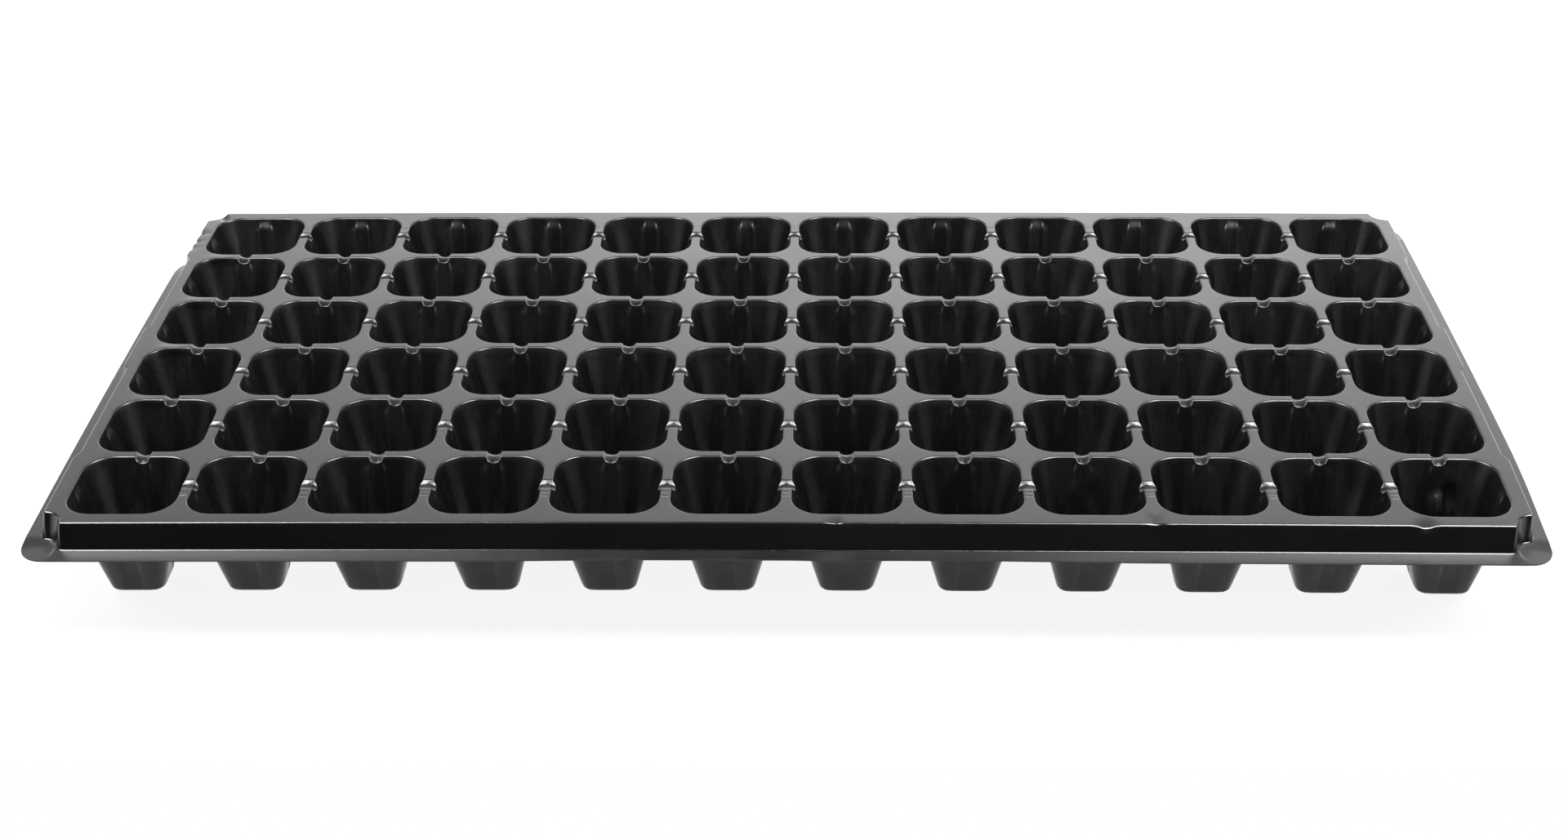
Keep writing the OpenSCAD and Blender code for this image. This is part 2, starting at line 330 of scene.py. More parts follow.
def channel_fall(s, u):
    """How far the deck falls in a channel, at a distance u from the channel's middle"""
    soft = CHANNEL_SOFT
    half = s.channel_width / 2
    radius = (half ** 2 + s.channel_depth ** 2) / (2 * s.channel_depth)
    x = np.sqrt(np.maximum(radius ** 2 - u ** 2, 0.0)) - radius + s.channel_depth
    return np.where(x > soft, x, np.where(x < -soft, 0.0, (x + soft) ** 2 / (4 * soft)))


def spout_fall(s, past):
    """How far a channel's floor has fallen, at a distance past the middle of its web"""
    run = (s.pitch - s.mouth_width) / 2 + s.lip_radius + s.rib_depth
    return s.spout_drop / run * (np.hypot(past, s.channel_ridge) - s.channel_ridge)


def soft_min(a, b, soft):
    """The lower of two heights, with a soft bend where they meet"""
    soft = np.maximum(soft, 1e-6)
    h = np.clip(0.5 + 0.5 * (b - a) / soft, 0.0, 1.0)
    return b + (a - b) * h - soft * h * (1 - h)


def scoop_arm(s):
    """How far from the corner of the deck its edge starts to turn into the scoop"""
    return math.sqrt((s.scoop_radius + s.scoop_edge) ** 2 - s.scoop_edge ** 2)


def arc(middle, radius, start, end, steps):
    """Points and outward directions along an arc"""
    a = np.linspace(start, end, steps + 1)
    out = np.column_stack([np.cos(a), np.sin(a)])
    return np.array(middle) + radius * out, out


def scoop_path(s):
    """Edge of the deck round one corner: points and outward directions, from the corner of the deck"""
    arm, edge = scoop_arm(s), s.scoop_edge
    turn, quarter = math.atan2(arm, edge), math.pi / 2
    far = (COLUMNS - 1) / 2 * s.pitch - DECK_HALF_X / MM + s.mouth_width / 2 - s.mouth_corner
    halfway = (far - arm) / 2
    first, first_out = arc((-edge, -arm), edge, 0.0, turn, EDGE_STEPS)
    bounds = 2 * quarter + turn, 3 * quarter - turn
    scoop, scoop_in = arc((0.0, 0.0), s.scoop_radius, *bounds, SCOOP_STEPS)
    last, last_out = arc((-arm, -edge), edge, quarter - turn, quarter, EDGE_STEPS)
    points = [[(0.0, halfway)], first, scoop[1:-1], last, [(halfway, 0.0)]]
    normals = [[(1.0, 0.0)], first_out, -scoop_in[1:-1], last_out, [(0.0, 1.0)]]
    return np.concatenate(points), np.concatenate(normals)


def flange_corner_path(s, rim, count):
    """Outer edge of the flange round one corner, from the corner of the deck"""
    arm, radius = scoop_arm(s), s.flange_corner
    middle = rim - radius
    straight, bend = middle + arm, radius * math.pi / 2
    run = np.linspace(0.0, 2 * straight + bend, count)
    a = np.clip((run - straight) / radius, 0.0, math.pi / 2)
    before = np.minimum(run - straight, 0.0)
    after = np.maximum(run - straight - bend, 0.0)
    return np.column_stack([middle + radius * np.cos(a) - after, middle + radius * np.sin(a) + before])


class FormedSheet:
    """Top skin of the whole sheet, in millimetres from the middle of the deck's top"""

    def __init__(self, s):
        self.s = s
        self.points, self.quads, self.region, self.column = [], [], [], []
        self.count = 0
        self.half = np.array([DECK_HALF_X, DECK_HALF_Y]) / MM
        # How far the flange reaches beyond the deck, and how far the skirt drops and runs out
        self.rim = FLANGE[1].y / MM - self.half[1]
        self.drop = (DECK_TOP - FLANGE_TOP) / MM
        self.run = SKIRT[1].y / MM - self.half[1]
        # How far the sheet turns from deck to skirt, and where the flat of the deck ends for it
        self.tip = math.pi / 2 - math.atan(self.run / self.drop)
        self.flat_edge = s.edge_radius * math.tan(self.tip / 2)
        self.corner_points, self.corner_normals = scoop_path(s)
        for column in range(COLUMNS):
            for row in range(ROWS):
                self.add_cell(column, row)
        self.add_rim()
        self.join()

    def add_grid(self, grid, region, column, outward):
        """Adds rings of points joined into quads; region gives each band's region"""
        rings, around, _ = grid.shape
        index = self.count + np.arange(rings * around).reshape(rings, around)
        after = np.roll(index, -1, axis=1)
        quads = np.stack([index[:-1], after[:-1], after[1:], index[1:]], axis=-1).reshape(-1, 4)
        self.points.append(grid.reshape(-1, 3))
        self.quads.append(quads[:, [0, 3, 2, 1]] if outward else quads)
        self.region.append(np.repeat(np.array(region), around))
        self.column.append(np.full((rings - 1) * around, column))
        self.count += rings * around

    def add_cell(self, column, row):
        """Adds one cell with its share of the deck, which ends at the middles of the webs"""
        s = self.s
        centre = np.array([(column - (COLUMNS - 1) / 2) * s.pitch, (row - (ROWS - 1) / 2) * s.pitch])
        open_side = [column < COLUMNS - 1, row < ROWS - 1, column > 0, row > 0]
        edge = self.half - np.array([COLUMNS, ROWS]) * s.pitch / 2 + s.pitch / 2
        reach = [s.pitch / 2 if open_side[k] else edge[k % 2] - self.flat_edge for k in range(4)]
        straight = s.mouth_width / 2 - s.mouth_corner
        turns, boundary = [], []
        for k in range(4):
            n, m = reach[k], reach[(k + 1) % 4]
            if open_side[k] or open_side[(k + 1) % 4]:
                up = straight + CORNER_SHARES * (m - straight)
                down = straight + CORNER_SHARES[-2::-1] * (n - straight)
                local = np.concatenate([np.column_stack([np.full(len(up), n), up]),
                                        np.column_stack([down, np.full(len(down), m)])])
                turns.append(np.linspace(0.0, math.pi / 2, CORNER_STEPS + 1)[1:-1])
            else:
                local = edge[0] + self.corner_points - self.flat_edge * self.corner_normals
                turns.append(np.arctan2(local[:, 1] - straight, local[:, 0] - straight))
            boundary += [on_side(k, n, stations(straight)), on_side(k, *local.T)]
        boundary = np.concatenate(boundary)
        where, side = station_of_ring(turns)
        profile = cell_profile(s)
        mouth = rounded_square(*profile[0][:2], turns)
        layers = [(boundary, 0.0, 0.0), ((boundary + mouth) / 2, 0.0, 0.0)]
        for half, radius, height, rib in profile:
            layers.append((rounded_square(half, radius, turns), height, rib))
        floor, depth, _ = layers[-1]
        hole = s.drain_hole / 2 * floor / np.linalg.norm(floor, axis=1)[:, None]
        layers += [((floor + hole) / 2, depth, 0.0), (hole, depth, 0.0)]
        rings, heights, ribs = zip(*layers)
        xy = np.stack(rings)
        z = np.repeat(np.array(heights)[:, None], len(where), axis=1)
        # Ribs down the middle of each wall, which start as narrow as a channel and widen below it
        is_open = np.array(open_side)[side]
        widen = smooth_step(s.rib_top, s.rib_top + s.rib_lead, -z)
        width = s.channel_width + widen * (s.rib_width - s.channel_width)
        face = width * (FACE_IN_CHANNEL + widen * (FACE_BELOW - FACE_IN_CHANNEL))
        rib = s.rib_depth * np.array(ribs)[:, None]
        rib = rib * (1.0 - smooth_step(face, width, 2.0 * np.abs(where)))
        # Beside the border there is no channel, so the rib fades in below the lip
        fade = smooth_step(FADE_FROM * s.rib_top, s.rib_top + FADE_TO * s.rib_lead, -z)
        rib = rib * np.where(is_open, 1.0, fade)
        outward = OUTWARD[side]
        xy = xy - rib[:, :, None] * outward
        # Channels over the webs between cells, which fall to a spout at each lip
        past = s.pitch / 2 - np.sum(xy * outward, axis=2)
        fall = np.where(is_open, channel_fall(s, where), 0.0)[None, :]
        fall = fall + spout_fall(s, past) * smooth_step(0.0, SPOUT_SHARE * s.channel_depth, fall)
        z = np.where(z > CHANNEL_LIMIT, soft_min(z, -fall, np.minimum(SPOUT_SOFT, fall)), z)
        grid = np.concatenate([xy + centre, z[:, :, None]], axis=2)
        region = [ON_DECK, ON_DECK] + [IN_CELL] * (len(rings) - 3)
        self.add_grid(grid, region, column, outward=False)

    def perimeter(self):
        """Edge of the deck all round: points, outward directions and the flange's edge beyond them"""
        s = self.s
        straight = s.mouth_width / 2 - s.mouth_corner
        beside = straight + CORNER_SHARES * (s.pitch / 2 - straight)
        base, normal, outer = [], [], []
        for side in (3, 0, 1, 2):
            cells = (ROWS, COLUMNS)[side % 2]
            edge, across = self.half if side % 2 == 0 else self.half[::-1]
            run = []
            for i in range(cells):
                middle = (i - (cells - 1) / 2) * s.pitch
                if i > 0:
                    run += list(middle - beside[::-1])
                run += list(middle + stations(straight))
                if i < cells - 1:
                    run += list(middle + beside[:-1])
            # The corner that follows this side
            corner = on_side(side, edge, across)
            beyond = self.corner_points + self.rim * self.corner_normals
            beyond[1:-1] = flange_corner_path(s, self.rim, len(beyond) - 2)
            base += [on_side(side, edge, run), corner + on_side(side, *self.corner_points.T)]
            normal += [on_side(side, np.ones(len(run)), 0.0), on_side(side, *self.corner_normals.T)]
            outer += [on_side(side, edge + self.rim, run), corner + on_side(side, *beyond.T)]
        return np.concatenate(base), np.concatenate(normal), np.concatenate(outer)

    def add_rim(self):
        """Adds the skirt and the flange, all round"""
        s = self.s
        base, normal, outer = self.perimeter()
        profile = []
        for a in np.linspace(0.0, self.tip, EDGE_STEPS + 1):
            profile.append((-self.flat_edge + s.edge_radius * math.sin(a),
                            -s.edge_radius * (1 - math.cos(a))))
        tangent = s.crease_radius * math.tan(self.tip / 2)
        slope = math.hypot(self.run, self.drop)
        foot = self.run - tangent * self.run / slope, -self.drop + tangent * self.drop / slope
        start = profile[-1]
        for t in SKIRT_SHARES:
            profile.append((start[0] + t * (foot[0] - start[0]), start[1] + t * (foot[1] - start[1])))
        for a in np.linspace(self.tip, 0.0, CREASE_STEPS + 1):
            profile.append((self.run + tangent - s.crease_radius * math.sin(a),
                            -self.drop + s.crease_radius * (1 - math.cos(a))))
        rings = [np.column_stack([base + d * normal, np.full(len(base), z)]) for d, z in profile]
        skirt_bands = len(rings) - 1
        inner = rings[-1][:, :2]
        for t in FLANGE_SHARES:
            xy = inner + t * (outer - inner)
            inset = self.half - np.abs(xy)
            beyond = -inset.min(axis=1)
            reach = s.pad_reach - PAD_LEAN * (beyond - self.run)
            # A pad steps down from the long flanges, and runs into the short ones
            soft = np.where(inset[:, 0] > inset[:, 1], PAD_STEP, PAD_RUN)
            pad = 1.0 - smooth_step(-soft, soft, inset.max(axis=1) - reach)
            hang = t * self.flange_hang(xy)
            z = -self.drop - hang - pad * (s.pad_drop * smooth_step(0.0, PAD_FULL, t) - hang)
            rings.append(np.column_stack([xy, z]))
        region = [ON_SKIRT] * skirt_bands + [ON_FLANGE] * (len(rings) - 1 - skirt_bands)
        self.add_grid(np.stack(rings), region, -1, outward=True)

    def flange_hang(self, xy):
        """How far the long flanges hang at their edges: less round the middle of the front one"""
        from_middle = np.abs(xy[:, 0] - LEVEL_MIDDLE)
        level = (xy[:, 1] < 0) * (1.0 - smooth_step(LEVEL_HALF, HANG_FULL, from_middle))
        long_side = smooth_step(0.0, HANG_RUN, np.abs(xy[:, 1]) - self.half[1])
        return self.s.flange_fall * (1.0 - LEVEL_SHARE * level) * long_side

    def end_recess(self, points):
        """How far the short ends step in, from beside their middles to the last rows"""
        s = self.s
        along = np.abs(points[:, 1])
        inset = self.half[0] - np.abs(points[:, 0])
        last = (ROWS / 2 - 1) * s.pitch
        share = (smooth_step(-MIDDLE_STEP, MIDDLE_STEP, along - s.end_middle)
                 - smooth_step(-LAST_STEP, LAST_STEP, along - last))
        share = share * smooth_step(STEP_FROM, STEP_FULL, inset)
        # The flange's own edge stays where it is
        share = share * smooth_step(-self.rim, -0.5 * self.rim, inset)
        return s.end_step * share

    def join(self):
        """Joins the points that tiles share, then bends the sheet and finds its normals and gauge"""
        s = self.s
        points = np.concatenate(self.points)
        _, first, back = np.unique(np.round(points, 4), axis=0, return_index=True, return_inverse=True)
        self.points = points[first]
        self.quads = back.reshape(-1)[np.concatenate(self.quads)]
        self.region = np.concatenate(self.region)
        self.column = np.concatenate(self.column)
        deep = self.points[:, 2].copy()
        self.points = self.bend(self.points)
        a, b, c, d = (self.points[self.quads[:, k]] for k in range(4))
        face_normal = np.cross(c - a, d - b)
        normal = np.zeros_like(self.points)
        for k in range(4):
            np.add.at(normal, self.quads[:, k], face_normal)
        self.normal = normal / np.linalg.norm(normal, axis=1)[:, None]
        drawn = smooth_step(THIN_FROM, THIN_TO, -deep)
        in_cell = np.zeros(len(self.points), bool)
        in_cell[self.quads[self.region == IN_CELL].ravel()] = True
        self.gauge = s.deck_gauge + in_cell * drawn * (s.cell_gauge - s.deck_gauge)

    def bend(self, points):
        """The crown of the sheet, and its dents and crinkles from handling"""
        s = self.s
        first = -(COLUMNS - 1) / 2 * s.pitch
        marks = list(DENTS)
        for row, strength in CRINKLED_ROWS:
            lip = (row - (ROWS - 1) / 2) * s.pitch + s.mouth_width / 2
            push = tuple(strength * p for p in CRINKLE_PUSH)
            marks += [((first + x, lip, 0.0), push, CRINKLE_REACH) for x in CRINKLES]
        bent = points.copy()
        bent[:, 2] -= s.crown * (points[:, 1] / self.half[1]) ** 2
        bent[:, 2] += s.bow * (1.0 - (points[:, 0] / self.half[0]) ** 2)
        bent[:, 0] -= np.sign(points[:, 0]) * self.end_recess(points)
        for place, push, reach in marks:
            away = np.sum(((points - place) / reach) ** 2, axis=1)
            bent += np.exp(-away)[:, None] * push
        return bent


_sheets = {}


def formed_sheet(context):
    """The sheet for the sizes in the sidebar, worked out once"""
    s = in_mm(context.scene.tray_sizes)
    key = tuple(sorted(vars(s).items()))
    if key not in _sheets:
        _sheets.clear()
        _sheets[key] = FormedSheet(s)
    return _sheets[key]


def make_piece(sheet, name, chosen, material, nodes):
    """One closed piece of the sheet: its top, its underside and the cut edges between them"""
    quads = sheet.quads[chosen]
    used, back = np.unique(quads, return_inverse=True)
    quads = back.reshape(quads.shape)
    top = sheet.points[used]
    normal = sheet.normal[used]
    low = top - normal * sheet.gauge[used][:, None]
    count = len(used)
    start = quads.ravel()
    end = np.roll(quads, -1, axis=1).ravel()
    there = set((start * count + end).tolist())
    bare = np.array([k not in there for k in (end * count + start).tolist()])
    a, b = start[bare], end[bare]
    caps = np.stack([a, a + count, b + count, b], axis=1)
    faces = np.concatenate([quads, quads[:, ::-1] + count, caps])
    points = np.concatenate([top, low]) * MM + np.array([0.0, 0.0, DECK_TOP])
    corner_normal = np.concatenate([normal, -normal])[faces]
    p, q, r = (points[caps[:, k]] for k in range(3))
    cap_normal = np.cross(q - p, r - p)
    cap_normal /= np.maximum(np.linalg.norm(cap_normal, axis=1), 1e-12)[:, None]
    corner_normal[-len(caps):] = cap_normal[:, None, :]
    mesh = bpy.data.meshes.new(name)
    mesh.from_pydata(points.tolist(), [], faces.tolist())
    mesh.shade_smooth()
    mesh.normals_split_custom_set(corner_normal.reshape(-1, 3).tolist())
    mesh.validate()
    mesh.materials.append(material)
    piece = bpy.data.objects.new(name, mesh)
    bpy.context.scene.collection.objects.link(piece)
    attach(piece, "root")
    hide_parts(*nodes)


def feed(tree, socket, value):
    """Links a value that is a socket, and sets one that is a number"""
    if isinstance(value, bpy.types.NodeSocket):
        tree.links.new(value, socket)
    else:
        socket.default_value = value


def calc(tree, operation, *values):
    """A Math node on sockets or numbers"""
    node = tree.nodes.new("ShaderNodeMath")
    node.operation = operation
    for socket, value in zip(node.inputs, values):
        feed(tree, socket, value)
    return node.outputs[0]


def times(tree, first, *others):
    """The product of sockets or numbers"""
    for value in others:
        first = calc(tree, "MULTIPLY", first, value)
    return first


def plus(tree, first, second):
    """The sum of two sockets or numbers"""
    return calc(tree, "ADD", first, second)


def ramp(tree, value, low, high, to_low=0.0, to_high=1.0):
    """A smooth change from one value to another"""
    node = tree.nodes.new("ShaderNodeMapRange")
    node.interpolation_type = "SMOOTHSTEP"
    for name, number in (("Value", value), ("From Min", low), ("From Max", high),
                         ("To Min", to_low), ("To Max", to_high)):
        feed(tree, node.inputs[name], number)
    return node.outputs["Result"]


def noise(tree, place, scale, detail=2.0, roughness=0.5):
    """A Noise Texture's value"""
    node = tree.nodes.new("ShaderNodeTexNoise")
    tree.links.new(place, node.inputs["Vector"])
    for name, number in (("Scale", scale), ("Detail", detail), ("Roughness", roughness)):
        feed(tree, node.inputs[name], number)
    return node.outputs["Fac"]


def in_tray(tree):
    """A point's place in the tray, in metres"""
    return tree.nodes.new("ShaderNodeTexCoord").outputs["Object"]


def split_place(tree, place):
    """A Separate XYZ node on a place"""
    split = tree.nodes.new("ShaderNodeSeparateXYZ")
    tree.links.new(place, split.inputs[0])
    return split


def stretched(tree, place, x, y, z):
    """A place with its axes scaled"""
    split = split_place(tree, place)
    join = tree.nodes.new("ShaderNodeCombineXYZ")
    for k, number in enumerate((x, y, z)):
        tree.links.new(times(tree, split.outputs[k], number), join.inputs[k])
    return join.outputs[0]


def new_group(name, inputs, outputs):
    """A shader node group with named sockets, and its two ends"""
    tree = bpy.data.node_groups.new(name, "ShaderNodeTree")
    for label, value in inputs.items():
        socket = tree.interface.new_socket(name=label, in_out="INPUT", socket_type="NodeSocketFloat")
        socket.default_value = value
    for label in outputs:
        tree.interface.new_socket(name=label, in_out="OUTPUT", socket_type="NodeSocketFloat")
    return tree, tree.nodes.new("NodeGroupInput"), tree.nodes.new("NodeGroupOutput")


def sheet_grain():
    """Satin grain of the rolled sheet: fine height, and a broad change of shade"""
    tree, start, end = new_group("sheet_grain", {"Fine": 2600.0, "Broad": 34.0}, ("Height", "Shade"))
    place = in_tray(tree)
    feed(tree, end.inputs["Height"], noise(tree, place, start.outputs["Fine"], 3.0, 0.6))
    feed(tree, end.inputs["Shade"], noise(tree, place, start.outputs["Broad"], 4.0, 0.62))
    return tree


def draw_streaks_and_sheen():
    """Upright streaks where the hot sheet was drawn down, for roughness and relief; in the cells they
    also mark pale painted reflections
    """
    tree, start, end = new_group("draw_streaks_and_sheen", {"Across": 420.0, "Down": 16.0}, ("Streak",))
    place = stretched(tree, in_tray(tree), start.outputs["Across"], start.outputs["Across"],
                      start.outputs["Down"])
    value = noise(tree, place, 1.0, 3.0, 0.55)
    feed(tree, end.inputs["Streak"], ramp(tree, value, 0.36, 0.66))
    return tree


def handling_scuffs():
    """Pale rubs and specks from stacking and handling"""
    tree, start, end = new_group("handling_scuffs", {"Amount": 0.5}, ("Scuff",))
    place = in_tray(tree)
    patch = ramp(tree, noise(tree, place, 30.0, 3.0), 0.52, 0.72)
    rub = ramp(tree, noise(tree, stretched(tree, place, 180.0, 1900.0, 900.0), 1.0, 2.0), 0.56, 0.74)
    speck = ramp(tree, noise(tree, place, 1500.0, 1.0), 0.73, 0.79)
    both = calc(tree, "MAXIMUM", times(tree, patch, rub), times(tree, speck, 0.6))
    feed(tree, end.inputs["Scuff"], times(tree, both, start.outputs["Amount"]))
    return tree


def place_group(tree, make, **values):
    """Outputs of one use of a group, made when it is first needed, with its own values"""
    node = tree.nodes.new("ShaderNodeGroup")
    node.node_tree = bpy.data.node_groups.get(make.__name__) or make()
    for name, value in values.items():
        feed(tree, node.inputs[name.title()], value)
    return node.outputs


def scaled(colour, factor):
    """A colour made darker or paler"""
    return [factor * c for c in colour]


def with_shade(tree, grain, low, high):
    """A value that follows the grain's broad change of shade"""
    return ramp(tree, grain["Shade"], 0.3, 0.7, low, high)


def mix_colour(tree, share, first, second):
    """A Mix Color node on colours or sockets"""
    node = tree.nodes.new("ShaderNodeMix")
    node.data_type = "RGBA"
    feed(tree, node.inputs["Factor"], share)
    for socket, value in ((node.inputs[6], first), (node.inputs[7], second)):
        feed(tree, socket, value if isinstance(value, bpy.types.NodeSocket) else (*value, 1.0))
    return node.outputs[2]


def depth_below_deck(tree):
    """How far a point lies below the deck, in metres"""
    split = split_place(tree, in_tray(tree))
    return calc(tree, "SUBTRACT", DECK_TOP, split.outputs["Z"])


# Fine lines on the webs, in metres: where they lie beyond the middle of the outer row, their half widths
# at the bottom and the top, how far they wobble, and where they fade in and out
DRAW_LINES, DRAW_LINE_WIDTH, DRAW_WOBBLE = (0.0080, 0.0105), (0.0001, 0.0006), 0.005
DRAW_FADE_IN, DRAW_FADE_OUT = (0.004, 0.007), (0.015, 0.020)


def web_draw_lines(tree):
    """Fine lines across the webs by the front and back rows, where the sheet was pulled tight"""
    split = split_place(tree, in_tray(tree))
    outer_row = (ROWS - 1) / 2 * PITCH
    beyond = calc(tree, "SUBTRACT", calc(tree, "ABSOLUTE", split.outputs["Y"]), outer_row)
    fade_in = ramp(tree, beyond, *DRAW_FADE_IN)
    fade_out = ramp(tree, beyond, *DRAW_FADE_OUT, 1.0, 0.0)
    wavy = plus(tree, beyond, times(tree, noise(tree, in_tray(tree), 40.0), DRAW_WOBBLE))
    lines = []
    for place in DRAW_LINES:
        away = calc(tree, "ABSOLUTE", calc(tree, "SUBTRACT", wavy, place))
        lines.append(ramp(tree, away, *DRAW_LINE_WIDTH, -1.0, 0.0))
    line = calc(tree, "MINIMUM", *lines)
    from_web = calc(tree, "FRACT", calc(tree, "DIVIDE", split.outputs["X"], PITCH))
    near_web = calc(tree, "MINIMUM", from_web, calc(tree, "SUBTRACT", 1.0, from_web))
    on_web = ramp(tree, near_web, 0.10, 0.22, 1.0, 0.0)
    # Not on the borders beyond the outer columns
    last = (COLUMNS - 1) / 2
    across = calc(tree, "ABSOLUTE", split.outputs["X"])
    inside = ramp(tree, across, (last - 0.1) * PITCH, (last + 0.1) * PITCH, 1.0, 0.0)
    return times(tree, line, fade_in, fade_out, on_web, inside)


def new_finish(name):
    """A material with its tree and its shader"""
    material = bpy.data.materials.new(name)
    material.use_nodes = True
    return material, material.node_tree, material.node_tree.nodes["Principled BSDF"]


def surface(tree, shader, colour, roughness, height, relief):
    """Joins colour, roughness and relief to the shader"""
    feed(tree, shader.inputs["Base Color"], colour)
    feed(tree, shader.inputs["Roughness"], roughness)
    bump = tree.nodes.new("ShaderNodeBump")
    bump.inputs["Distance"].default_value = relief
    bump.inputs["Strength"].default_value = 1.0
    feed(tree, bump.inputs["Height"], height)
    tree.links.new(bump.outputs[0], shader.inputs["Normal"])


# Height of the relief from grain and streaks, in metres
RELIEF, SKIRT_RELIEF = 0.00004, 0.00003
# Roughness of the satin deck and of the flange, and what a full scuff adds to it
DECK_SATIN, FLANGE_SATIN = (0.27, 0.33), (0.28, 0.35)
SCUFF_ROUGHNESS = 0.2


def satin_finish(name, colours, colour, broad, amount, satin):
    """Satin sheet with scuffs: its material, tree, shader, colour, roughness and grain"""
    material, tree, shader = new_finish(name)
    grain = place_group(tree, sheet_grain, broad=broad)
    scuff = place_group(tree, handling_scuffs, amount=amount)["Scuff"]
    shade = with_shade(tree, grain, 0.0, 1.0)
    shaded = mix_colour(tree, shade, scaled(colour, 0.8), scaled(colour, 1.2))
    roughness = plus(tree, with_shade(tree, grain, *satin), times(tree, scuff, SCUFF_ROUGHNESS))
    shown = mix_colour(tree, scuff, shaded, colours.scuff_colour)
    return material, tree, shader, shown, roughness, grain["Height"]


def deck_finish(colours):
    """Satin deck with draw lines on its webs"""
    material, tree, shader, colour, roughness, grain = satin_finish(
        "deck_sheet", colours, colours.deck_colour, 34.0, 0.35, DECK_SATIN)
    height = plus(tree, grain, times(tree, web_draw_lines(tree), 4.0))
    surface(tree, shader, colour, roughness, height, RELIEF)
    return material


def flange_finish(colours):
    """Satin flange, rubbed where trays stack and are carried"""
    material, tree, *rest = satin_finish(
        "flange_sheet", colours, colours.flange_colour, 40.0, 0.6, FLANGE_SATIN)
    surface(tree, *rest, RELIEF)
    return material


def cell_finish(colours):
    """Drawn cells: satin at the lip, then glossier and streaked; painted shade darkens them below the
    lip, and pale painted reflections lie along the streaks, palest low on the walls
    """
    material, tree, shader = new_finish("cell_sheet")
    grain = place_group(tree, sheet_grain, broad=60.0)
    streak = place_group(tree, draw_streaks_and_sheen, across=150.0, down=6.0)["Streak"]
    scuff = place_group(tree, handling_scuffs, amount=0.12)["Scuff"]
    depth = depth_below_deck(tree)
    drawn = ramp(tree, depth, 0.0006, 0.0024)
    streaked = times(tree, streak, drawn)
    # Painted reflection: pale streaks low on the cell walls
    painted_low_streaks = times(tree, ramp(tree, depth, 0.014, 0.026), ramp(tree, streak, 0.3, 0.9))
    # Painted shade: from the deck's colour at the lip to the cells' darker copy below it
    colour = mix_colour(tree, drawn, colours.deck_colour, colours.cell_colour)
    # Painted reflection: paler along the streaks
    colour = mix_colour(tree, times(tree, streaked, 0.6), colour, scaled(colours.cell_colour, 2.2))
    colour = mix_colour(tree, painted_low_streaks, colour, scaled(colours.cell_colour, 5.0))
    colour = mix_colour(tree, scuff, colour, colours.scuff_colour)
    satin = with_shade(tree, grain, *DECK_SATIN)
    glossy = ramp(tree, streak, 0.0, 1.0, 0.24, 0.29)
    flat = calc(tree, "SUBTRACT", 1.0, drawn)
    roughness = plus(tree, times(tree, satin, flat), times(tree, glossy, drawn))
    height = plus(tree, times(tree, grain["Height"], 0.4), times(tree, streaked, 1.2))
    surface(tree, shader, colour, roughness, height, RELIEF)
    shader.inputs["Specular IOR Level"].default_value = 0.38
    return material


def skirt_finish(colours):
    """Skirt: smooth, and darker than the deck below its edge as painted shade"""
    material, tree, shader = new_finish("skirt_sheet")
    grain = place_group(tree, sheet_grain, broad=22.0)
    streak = place_group(tree, draw_streaks_and_sheen, across=130.0, down=20.0)["Streak"]
    scuff = place_group(tree, handling_scuffs, amount=0.3)["Scuff"]
    drawn = ramp(tree, depth_below_deck(tree), 0.0010, 0.0035)
    # Painted shade: from the deck's colour at the edge to the darker copy down the skirt
    colour = mix_colour(tree, drawn, colours.deck_colour, colours.skirt_colour)
    colour = mix_colour(tree, times(tree, streak, 0.4), colour, scaled(colours.skirt_colour, 1.8))
    colour = mix_colour(tree, scuff, colour, colours.scuff_colour)
    roughness = with_shade(tree, grain, 0.16, 0.21)
    height = plus(tree, times(tree, grain["Height"], 0.6), streak)
    surface(tree, shader, colour, roughness, height, SKIRT_RELIEF)
    return material


def make_region(context, name, region, finish, nodes):
    """One piece for a whole region of the sheet"""
    sheet = formed_sheet(context)
    make_piece(sheet, name, sheet.region == region, finish(context.scene.tray_colours), nodes)
    return {"FINISHED"}


class TRAY_OT_cells(bpy.types.Operator):
    """Make the cells, one piece for each column"""
    bl_idname = "tray.cells"
    bl_label = "Cells"

    def execute(self, context):
        sheet = formed_sheet(context)
        finish = cell_finish(context.scene.tray_colours)
        for column, node in enumerate(CELL_COLUMNS):
            chosen = (sheet.region == IN_CELL) & (sheet.column == column)
            make_piece(sheet, node.replace("cell_column", "cells"), chosen, finish, [node])
        return {"FINISHED"}


class TRAY_OT_deck(bpy.types.Operator):
    """Make the deck with the channels over its webs"""
    bl_idname = "tray.deck"
    bl_label = "Deck"

    def execute(self, context):
        return make_region(context, "deck", ON_DECK, deck_finish, COLUMN_WEBS + BORDERS)


class TRAY_OT_skirt(bpy.types.Operator):
    """Make the skirt with its scooped corners"""
    bl_idname = "tray.skirt"
    bl_label = "Skirt"

    def execute(self, context):
        return make_region(context, "skirt", ON_SKIRT, skirt_finish, SKIRTS)


class TRAY_OT_flange(bpy.types.Operator):
    """Make the flange with its corner pads"""
    bl_idname = "tray.flange"
    bl_label = "Flange"

    def execute(self, context):
        return make_region(context, "flange", ON_FLANGE, flange_finish, FLANGES)


# Edges of the studio floor in metres; it ends a little before the tray
FLOOR_SIDE, FLOOR_FRONT, FLOOR_BACK = 3.0, -0.22, 3.0
# How brightly the floor glows for the camera and in mirrored or passed light
FLOOR_GLOW = 0.88
# Width of the camera's sensor in millimetres
SENSOR_WIDTH = 36.0
WHITE = (1.0, 1.0, 1.0, 1.0)
# Colour of the light that the studio casts
STUDIO_LIGHT = (1.0, 0.965, 0.975, 1.0)
